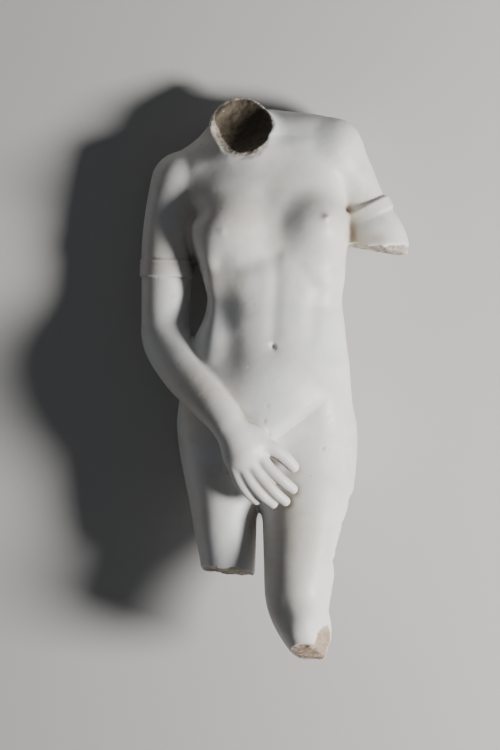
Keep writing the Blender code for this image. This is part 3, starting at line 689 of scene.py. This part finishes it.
def surface(grid, low, step):
    """One point in each cell that the surface crosses, and one quad round each crossed edge."""
    inside = grid < 0
    cells = np.zeros(np.array(grid.shape) - 1, np.int8)
    corners = [np.array([c & 1, c >> 1 & 1, c >> 2 & 1]) for c in range(8)]
    for a, b, c in corners:
        cells += inside[a:a + cells.shape[0], b:b + cells.shape[1], c:c + cells.shape[2]]
    at = np.argwhere((cells > 0) & (cells < 8))
    number = np.full(cells.shape, -1, np.int32)
    number[tuple(at.T)] = np.arange(len(at))
    total = np.zeros((len(at), 3))
    count = np.zeros(len(at))
    for start in corners:
        for axis in range(3):
            if start[axis]:
                continue
            end = start.copy()
            end[axis] = 1
            a = grid[tuple((at + start).T)]
            b = grid[tuple((at + end).T)]
            crossed = (a < 0) != (b < 0)
            t = np.where(crossed, a / np.where(crossed, a - b, 1), 0)
            total += crossed[:, None] * (start + t[:, None] * (end - start))
            count += crossed
    points = low + (at + total / count[:, None]) * step
    quads = []
    for axis in range(3):
        u, v = (axis + 1) % 3, (axis + 2) % 3
        first = np.take(inside, range(inside.shape[axis] - 1), axis)
        second = np.take(inside, range(1, inside.shape[axis]), axis)
        edge = np.argwhere(first != second)
        outward = first[tuple(edge.T)]
        ring = []
        for du, dv in ((-1, -1), (0, -1), (0, 0), (-1, 0)):
            cell = edge.copy()
            cell[:, u] += du
            cell[:, v] += dv
            ring.append(number[tuple(cell.T)])
        ring = np.stack(ring, 1)
        ring[~outward] = ring[~outward][:, ::-1]
        quads.append(ring)
    return points, np.concatenate(quads)


def carve_figure(step):
    """A mesh object of the whole figure, in millimetres."""
    # A box that holds every form, also where the driving dimensions make it larger than drawn
    spread = np.array([max(f) for f in local_stretch(np.arange(0, 451, 10))])
    low = place((0, -14, 0)) + spread * (-114, 0, -82)
    high = place((0, 462, 0)) + spread * (126, 0, 90)
    grid = close_pinches(sample(low, high, step, figure))
    points, quads = surface(grid, low, step)
    mesh = bpy.data.meshes.new("marble_figure")
    mesh.from_pydata(points.tolist(), [], quads.tolist())
    mesh.update()
    return bpy.data.objects.new("marble_figure", mesh)


def thin_out(figure_object, triangles):
    """Merges the small faces where the form is plain, down to a number of triangles."""
    now = sum(len(face.vertices) - 2 for face in figure_object.data.polygons)
    thinning = figure_object.modifiers.new("Thin out", "DECIMATE")
    thinning.ratio = triangles / now
    evaluated = figure_object.evaluated_get(bpy.context.evaluated_depsgraph_get())
    thinned = bpy.data.meshes.new_from_object(evaluated)
    figure_object.modifiers.clear()
    figure_object.data = thinned
    thinned.name = "marble_figure"


def underside(mesh):
    """Outward normal of the plane that the figure comes to rest on when it lies on its back."""
    mesh.calc_loop_triangles()
    points = np.array([v.co for v in mesh.vertices])
    corners = points[np.array([t.vertices for t in mesh.loop_triangles])]
    volumes = np.einsum("ij,ij->i", corners[:, 0], np.cross(corners[:, 1], corners[:, 2]))
    centre = (corners.sum(axis=1) * volumes[:, None]).sum(axis=0) / (4 * volumes.sum())
    hull = bmesh.new()
    hull.from_mesh(mesh)
    shell = bmesh.ops.convex_hull(hull, input=hull.verts[:], use_existing_faces=False)["geom"]
    normal = Vector((0, 0, -1))
    for face in shell:
        if isinstance(face, bmesh.types.BMFace) and abs(face.normal.z) > 0.9:
            a, b, c = (np.array(v.co[:]) - centre for v in face.verts[:3])
            n = np.cross(b - a, c - a)
            n *= -np.sign(n[2]) / np.linalg.norm(n)
            foot = n * (a @ n)
            sides = [np.cross(v - u, foot - u) @ n for u, v in ((a, b), (b, c), (c, a))]
            if a @ n > 0 and min(sides) * max(sides) > 0:
                normal = Vector(n)
    hull.free()
    return normal


def lay_down(figure_object):
    """Turns the figure on its back, in metres, with the floor at zero under its middle.

    The matrix that it returns takes a point of the carving frame to its place in the lying one.
    """
    mesh = figure_object.data
    normal = underside(mesh)
    pitch = -math.atan2(normal.y, -normal.z)
    roll = math.atan2(normal.x, math.hypot(normal.y, normal.z))
    turn = Matrix.Rotation(roll, 4, "Y") @ Matrix.Rotation(pitch, 4, "X")
    mesh.transform(Matrix.Scale(0.001, 4) @ turn)
    points = np.array([v.co for v in mesh.vertices])
    low = points.min(axis=0)
    high = points.max(axis=0)
    middle = Vector(((low[0] + high[0]) / 2, (low[1] + high[1]) / 2, low[2]))
    mesh.transform(Matrix.Translation(-middle))
    mesh.update()
    return Matrix.Translation(-middle) @ Matrix.Scale(0.001, 4) @ turn


# Small marks on the skin, in carving millimetres

PITS = [  # x, y, radius, depth
    (-3.2, 189.6, 1.2, 0.8), (-0.8, 201.6, 1.0, 0.6), (43.2, 168.0, 1.2, 0.7),
]
STAINS_AND_SHADE = [  # x, y, width, height, strength
    (45.8, 350.0, 1.8, 1.8, 0.75), (44.0, 351.0, 6.0, 7.0, 0.14), (63.2, 336.2, 2.4, 2.2, 0.45),
    (67.5, 336.5, 3.4, 5.0, 0.35), (88.0, 334.0, 8.5, 4.2, 0.40), (-81, 311, 24, 8.0, 0.16),
    # On this line the two between the thumb and the index finger are painted shade in the gap there
    (80.3, 352.0, 14, 8.0, 0.10), (7.0, 157.0, 4.0, 3.2, 0.45), (16.0, 147.0, 4.6, 2.8, 0.35),
    (-3.2, 189.6, 1.2, 1.2, 0.6), (-0.8, 201.6, 1.0, 1.0, 0.5), (43.2, 168.0, 1.2, 1.2, 0.6),
]
BAND_LINES = [  # middle and direction of a band, how far along the arm its lines lie, reach, depth
    (*RIGHT_BAND, (-7.6, 4.0, 7.4), 30, 0.45),
    (*LEFT_BAND, (5.6,), 28, 0.10),
]
KNEE_DARKENING = 0.55  # how much darker and browner the break below the knee is coloured
NECK_BOWL = ((-21, 424.5, 10.5), (23, 24, 12), (-34, -6, 0))  # centre, radii and turn of its hollow
PALE_RIM = 4.5  # width of the pale rim round that hollow, which its painted shade leaves out


# Relief that is too fine for the solid

def normals_of(mesh):
    normals = np.empty(len(mesh.vertices) * 3, np.float32)
    mesh.vertices.foreach_get("normal", normals)
    return normals.reshape(-1, 3)


def points_of(mesh):
    points = np.empty(len(mesh.vertices) * 3, np.float32)
    mesh.vertices.foreach_get("co", points)
    return points.reshape(-1, 3)


def broken_share(p):
    """One on broken stone and nothing on the carved skin, which the unbroken figure would share."""
    return smooth((-figure(p, broken=False) - 0.7) / 1.1)


def band_lines(p):
    """Thin lines cut along the edges of the arm bands."""
    cut = np.zeros(len(p))
    for centre, axis, offsets, reach, depth in BAND_LINES:
        axis = unit(axis)
        q = p - np.asarray(centre, float)
        along = q @ axis
        out = np.sqrt(np.maximum(np.sum(q * q, axis=1) - along**2, 0))
        held = smooth((reach - out) / 3) * smooth((np.abs(q[:, 0]) + 14) / 6)
        for offset in offsets:
            cut += depth * np.exp(-(((along - offset) / 0.9) ** 2)) * held
    return cut


def add_fine_relief(mesh):
    """Raises the crystals of the broken stone, and the pits, lines and wear of the skin."""
    p = points_of(mesh)
    n = normals_of(mesh)
    broken = broken_share(p)
    grain = 0.45 * roughness(p, 4.6, 71) + 0.36 * roughness(p, 2.4, 72) + 0.30 * roughness(p, 1.4, 73)
    worn = 0.09 * roughness(p, 13, 74) + 0.05 * roughness(p, 5.5, 75) + 0.02 * roughness(p, 2.4, 76)
    rise = broken * grain + (1 - broken) * worn
    rise -= (1 - broken) * band_lines(p)
    for x, y, radius, depth in PITS:
        d2 = (p[:, 0] - x) ** 2 + (p[:, 1] - y) ** 2
        rise -= depth * np.exp(-d2 / radius**2) * (n[:, 2] > 0.2)
    p = p + n * rise[:, None].astype(np.float32)
    mesh.vertices.foreach_set("co", p.ravel())
    mesh.update()


# Where the stone is broken, hollow or stained, and where shade is painted

def hollow_share(p, n, reach):
    """How far the stone closes in above each point, within reach of it."""
    above = p + n * np.float32(reach)
    return np.clip(1 - figure(above) / reach, 0, 1)


def describe_surface(mesh):
    """Stores on each point what the stone looks like there, and where shade is painted, for the material to
    read.
    """
    p = points_of(mesh)
    n = normals_of(mesh)
    stain_and_shade = np.zeros(len(p))
    for x, y, width, height, strength in STAINS_AND_SHADE:
        u = (p[:, 0] - x) / width
        v = (p[:, 1] - y) / height
        stain_and_shade = np.maximum(stain_and_shade, strength * np.exp(-(u * u + v * v)) * (n[:, 2] > 0.1))
    broken = broken_share(p)
    # The break below the knee is browner than the others
    stain_and_shade = np.maximum(stain_and_shade, KNEE_DARKENING * broken * smooth((30 - p[:, 1]) / 8))
    bowl = ellipsoid(p, *NECK_BOWL)
    # On the figure's right side alone the painted shade of the hollow stops short of the rim, which stays
    # pale
    rim = PALE_RIM - PALE_RIM * smooth((-(p[:, 0] + 21) * 0.85 - (p[:, 1] - 422) * 0.5 - 11) / 7)
    shares = {
        "broken": broken,
        # Hollowness, for more patina and for painted shade in the deepest hollows
        "crevice": 0.55 * hollow_share(p, n, 3.5) + 0.45 * hollow_share(p, n, 9.0),
        "stain_and_shade": stain_and_shade,
        # Painted shade inside the hollow of the neck break, short of its pale rim
        "bowl": smooth((rim - bowl) / 2.5),
    }
    for name, share in shares.items():
        attribute = mesh.attributes.new(name, "FLOAT", "POINT")
        attribute.data.foreach_set("value", np.asarray(share, np.float32))


# Materials

class Graph:
    """Short ways to add and join the nodes of one material."""

    def __init__(self, name):
        self.material = bpy.data.materials.new(name)
        self.material.use_nodes = True
        self.tree = self.material.node_tree
        self.shader = self.tree.nodes["Principled BSDF"]
        self.place = self.node("TexCoord").outputs["Object"]

    def node(self, kind, **settings):
        node = self.tree.nodes.new("ShaderNode" + kind)
        for name, value in settings.items():
            setattr(node, name, value)
        return node

    def join(self, value, socket):
        """Links an output to a socket, or sets the socket to a plain value."""
        if isinstance(value, bpy.types.NodeSocket):
            self.tree.links.new(value, socket)
        else:
            socket.default_value = value

    def noise(self, scale, detail, roughness=0.55, distortion=0.0):
        node = self.node("TexNoise")
        self.join(self.place, node.inputs["Vector"])
        node.inputs["Scale"].default_value = scale
        node.inputs["Detail"].default_value = detail
        node.inputs["Roughness"].default_value = roughness
        node.inputs["Distortion"].default_value = distortion
        return node.outputs["Fac"]

    def share(self, name):
        """What describe_surface stored on the points under this name."""
        return self.node("Attribute", attribute_name=name).outputs["Fac"]

    def math(self, operation, *values):
        node = self.node("Math", operation=operation)
        for value, socket in zip(values, node.inputs):
            self.join(value, socket)
        return node.outputs[0]

    def ramp(self, value, low, high, to_low=0.0, to_high=1.0):
        """Runs smoothly from to_low to to_high while the value runs from low to high."""
        node = self.node("MapRange", interpolation_type="SMOOTHSTEP")
        for number, socket in zip((value, low, high, to_low, to_high), node.inputs):
            self.join(number, socket)
        return node.outputs[0]

    def mix(self, share, first, second):
        node = self.node("Mix", data_type="RGBA")
        self.join(share, node.inputs[0])
        self.join(first, node.inputs[6])
        self.join(second, node.inputs[7])
        return node.outputs[2]


def marble_material():
    """White marble with a thin patina, and the browner stone of its broken faces, with shade painted into its
    hollows, into the hollow of the neck break and between thumb and finger.
    """
    g = Graph("marble")
    broken = g.share("broken")
    crevice = g.share("crevice")
    stain_and_shade = g.share("stain_and_shade")
    bowl = g.share("bowl")
    clouds = g.noise(13, 4, 0.55, 0.4)
    mottle = g.noise(75, 5, 0.6)
    flecks = g.noise(420, 3, 0.6)

    # Off-white stone, cooler and warmer in clouds, with a few faint grey smears
    colour = g.mix(g.ramp(clouds, 0.36, 0.64), COOL_MARBLE, WARM_MARBLE)
    colour = g.mix(g.ramp(g.noise(17, 5, 0.6, 0.8), 0.60, 0.80, 0.0, 0.16), colour, GREY_SMEAR)
    # Thin ochre patina in patches, and more of it where the stone is hollow
    patches = g.ramp(g.math("ADD", g.noise(28, 6, 0.62, 0.6), g.math("MULTIPLY", mottle, 0.35)), 0.62, 0.90)
    colour = g.mix(g.math("MULTIPLY", patches, 0.26), colour, PATINA)
    colour = g.mix(g.ramp(mottle, 0.30, 0.46, 0.10, 0.0), colour, PATINA)
    hollow = g.math("ADD", crevice, g.math("MULTIPLY", g.math("SUBTRACT", mottle, 0.5), 0.30))
    colour = g.mix(g.ramp(hollow, 0.20, 0.60, 0.0, 0.36), colour, PATINA)
    # Painted shade: the deepest hollows darkened towards near black
    colour = g.mix(g.ramp(hollow, 0.46, 0.92, 0.0, 0.55), colour, DIRT_AND_SHADE)
    # Broken stone: paler crystals in random flecks, with painted shade where it is hollow
    face = g.mix(g.ramp(flecks, 0.38, 0.64), BROKEN_DARK, BROKEN_LIGHT)
    face = g.mix(g.ramp(hollow, 0.20, 0.80, 0.0, 0.7), face, DIRT_AND_SHADE)
    colour = g.mix(g.math("MULTIPLY", broken, 0.85), colour, face)
    # Painted shade: the hollow of the neck break darkened to olive black
    painted_bowl_shade = g.math("MULTIPLY", g.ramp(bowl, 0.35, 1.0), g.ramp(mottle, 0.2, 0.6, 1.0, 0.92))
    colour = g.mix(g.math("MULTIPLY", painted_bowl_shade, broken), colour, OLIVE_PAINTED_SHADE)
    # Real stains, a darker break below the knee, and painted shade between thumb and index finger
    spots = g.math("MULTIPLY", stain_and_shade, g.ramp(mottle, 0.3, 0.62, 0.55, 1.0))
    colour = g.mix(spots, colour, RUST)
    # Fine dark specks
    speck = g.ramp(g.noise(300, 2, 0.5), 0.735, 0.78)
    colour = g.mix(g.math("MULTIPLY", speck, 0.30), colour, DIRT_AND_SHADE)
    g.join(colour, g.shader.inputs["Base Color"])

    # A few crystals of the broken stone glint, and the stone in hollows is dull
    crystals = g.node("TexVoronoi", feature="F1")
    crystals.inputs["Scale"].default_value = 620
    g.join(g.place, crystals.inputs["Vector"])
    shine = g.node("SeparateColor")
    g.join(crystals.outputs["Color"], shine.inputs[0])
    rough_skin = g.ramp(mottle, 0.3, 0.7, 0.40, 0.54)
    rough_face = g.ramp(shine.outputs[0], 0.80, 0.95, 0.78, 0.30)
    roughness_now = g.node("Mix", data_type="FLOAT")
    g.join(broken, roughness_now.inputs[0])
    g.join(rough_skin, roughness_now.inputs[2])
    g.join(rough_face, roughness_now.inputs[3])
    grimy = g.math("MAXIMUM", roughness_now.outputs[0], g.ramp(hollow, 0.2, 0.6, 0.0, 0.75))
    g.join(grimy, g.shader.inputs["Roughness"])

    # Bump finer than the mesh: faint on the skin, grainy on broken stone
    skin = g.math("ADD", g.math("MULTIPLY", flecks, 0.10), g.math("MULTIPLY", mottle, 0.30))
    grain = g.math("ADD", g.math("MULTIPLY", shine.outputs[1], 0.55), g.math("MULTIPLY", flecks, 0.9))
    height = g.math("ADD", skin, g.math("MULTIPLY", grain, broken))
    height = g.math("SUBTRACT", height, g.math("MULTIPLY", speck, 0.3))
    bump = g.node("Bump")
    bump.inputs["Strength"].default_value = 0.6
    bump.inputs["Distance"].default_value = 0.0007
    g.join(height, bump.inputs["Height"])
    g.join(bump.outputs[0], g.shader.inputs["Normal"])

    g.shader.inputs["Specular IOR Level"].default_value = 0.45
    g.shader.inputs["IOR"].default_value = 1.5
    # Light sinks a few millimetres into the stone
    g.shader.inputs["Subsurface Weight"].default_value = 0.18
    g.shader.inputs["Subsurface Radius"].default_value = (1.0, 0.85, 0.7)
    g.shader.inputs["Subsurface Scale"].default_value = 0.003
    return g.material


def floor_material():
    g = Graph("floor")
    g.join(g.mix(g.noise(3, 3), FLOOR_DARKER, FLOOR_LIGHTER), g.shader.inputs["Base Color"])
    g.shader.inputs["Roughness"].default_value = 0.8
    return g.material


# Making the piece and the studio

def make_figure():
    """The carved piece, and how the carving frame (millimetres) sits in the lying one (metres)."""
    piece = carve_figure(FINE_STEP)
    add_fine_relief(piece.data)
    bpy.context.scene.collection.objects.link(piece)
    thin_out(piece, FINE_TRIANGLES)
    describe_surface(piece.data)
    placing = lay_down(piece)
    piece.name = "goddess_marble"
    piece.data.shade_smooth()
    piece.data.materials.append(marble_material())
    return piece, placing


def area_light(name, placing, colour, direction, distance, size, power):
    """A round lamp that faces the middle of the figure."""
    light = bpy.data.lights.new(name, "AREA")
    light.shape = "DISK"
    light.size = size
    light.energy = power
    light.color = colour
    lamp = bpy.data.objects.new(name, light)
    bpy.context.scene.collection.objects.link(lamp)
    aim = placing.to_3x3().normalized() @ Vector(direction).normalized()
    lamp.location = placing @ Vector(LIT_MIDDLE) + aim * distance
    lamp.rotation_euler = aim.to_track_quat("Z", "Y").to_euler()


def build_studio(placing):
    """Floor, lamps, sky and camera. The camera looks at the front, as the photograph does."""
    bpy.ops.mesh.primitive_plane_add(size=FLOOR_SIZE)
    floor = bpy.context.object
    floor.name = "floor"
    floor.data.materials.append(floor_material())
    area_light("key", placing, KEY_COLOUR, **KEY)
    area_light("fill", placing, FILL_COLOUR, **FILL)
    world = bpy.data.worlds.new("studio")
    bpy.context.scene.world = world
    world.use_nodes = True
    world.node_tree.nodes["Background"].inputs["Color"].default_value = SKY_COLOUR
    world.node_tree.nodes["Background"].inputs["Strength"].default_value = SKY_STRENGTH

    camera = bpy.data.objects.new("camera", bpy.data.cameras.new("camera"))
    bpy.context.scene.collection.objects.link(camera)
    bpy.context.scene.camera = camera
    camera.data.sensor_fit = "AUTO"
    camera.data.sensor_width = SENSOR
    camera.data.lens = SENSOR * CAMERA_DISTANCE / SEEN_HEIGHT
    camera.location = placing @ Vector((SEEN_MIDDLE[0], SEEN_MIDDLE[1], CAMERA_DISTANCE))
    camera.rotation_euler = placing.to_3x3().normalized().to_euler()


piece, placing = make_figure()
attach(piece, "root")
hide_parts("marble_figure")
build_studio(placing)
